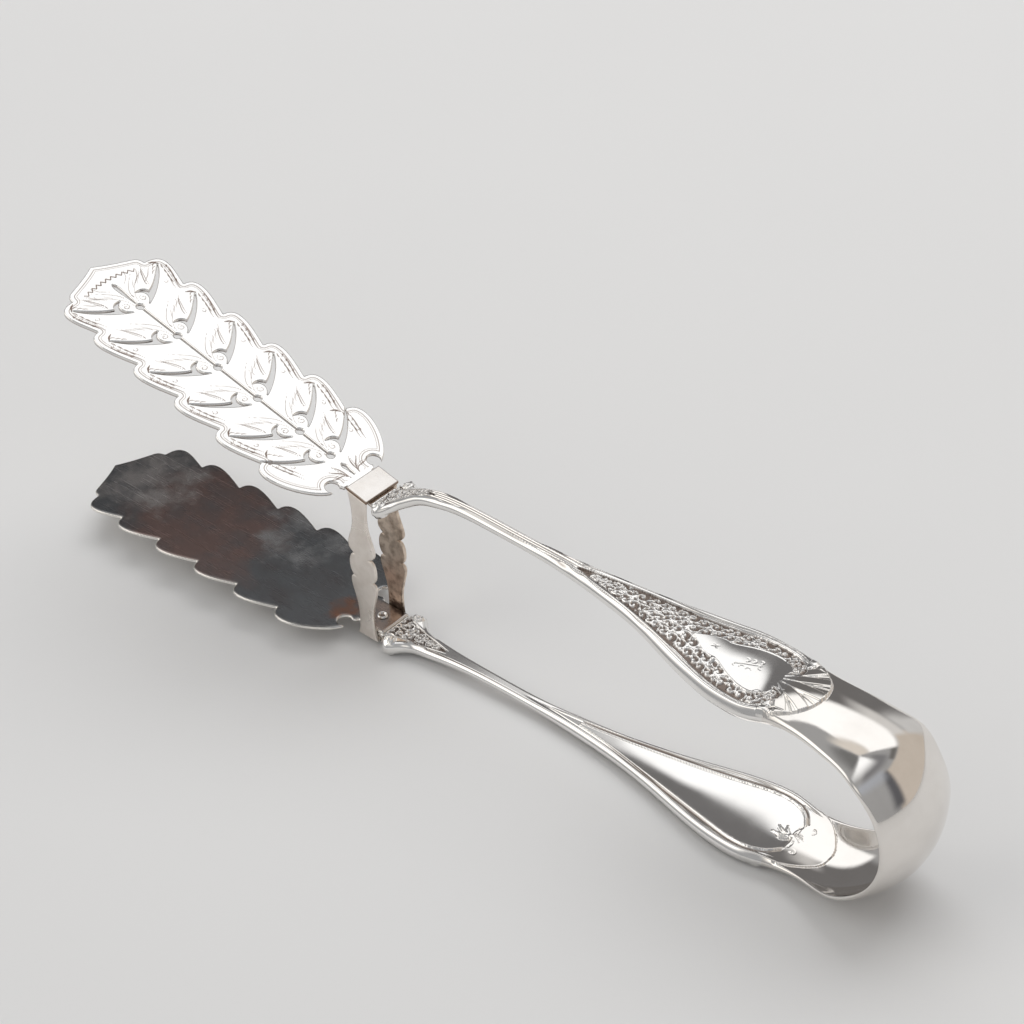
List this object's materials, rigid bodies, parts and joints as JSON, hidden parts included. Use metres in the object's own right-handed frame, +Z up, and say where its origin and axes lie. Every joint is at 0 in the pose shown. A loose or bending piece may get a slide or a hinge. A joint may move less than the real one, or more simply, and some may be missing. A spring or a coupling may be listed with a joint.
{
  "type": "ice tongs",
  "caption": "Silver serving tongs: leaf-shaped plain lower blade, pierced leaf-shaped upper blade, flat ornamented arms joined by a springy bow, and a stirrup that stops the arms opening.",
  "frame": {"origin": "middle, in X and Y, of the box that holds the tongs, on the surface they lie on", "axes": "+X from the blades' tips towards the bow, +Y across the blades, +Z up; the lower arm lies on z = 0"},
  "size_m": [0.2516, 0.0338, 0.0689],
  "materials": {
    "blade_silver_dark": "scratched, tarnished silver",
    "blade_silver_bright": "polished, engraved silver",
    "handle_silver": "polished silver with darkened relief",
    "bow_silver": "mirror polished silver",
    "stirrup_silver": "satin silver",
    "bridge_silver": "polished silver",
    "rivet_silver": "tarnished silver"
  },
  "bodies": {
    "lower_arm": {"lower_blade": "blade_silver_dark", "lower_terminal": "handle_silver", "lower_handle": "handle_silver", "lower_bow_half": "bow_silver", "stirrup_cheek_left": "stirrup_silver", "stirrup_cheek_right": "stirrup_silver", "stirrup_bridge": "bridge_silver", "stirrup_foot_strap": "stirrup_silver", "neck_rivet": "rivet_silver"},
    "upper_arm": {"upper_bow_half": "bow_silver", "upper_handle": "handle_silver", "upper_terminal": "handle_silver", "upper_blade": "blade_silver_bright"}
  },
  "joints": [
    {"name": "squeeze", "type": "hinge", "parent": "lower_arm", "child": "upper_arm", "pos_m": [0.1211, 0, 0.0232], "axis": [0, -1, 0], "range_deg": [0, 13.8], "stiffness_Nm_per_rad": 3, "springref_deg": -3.44}
  ]
}
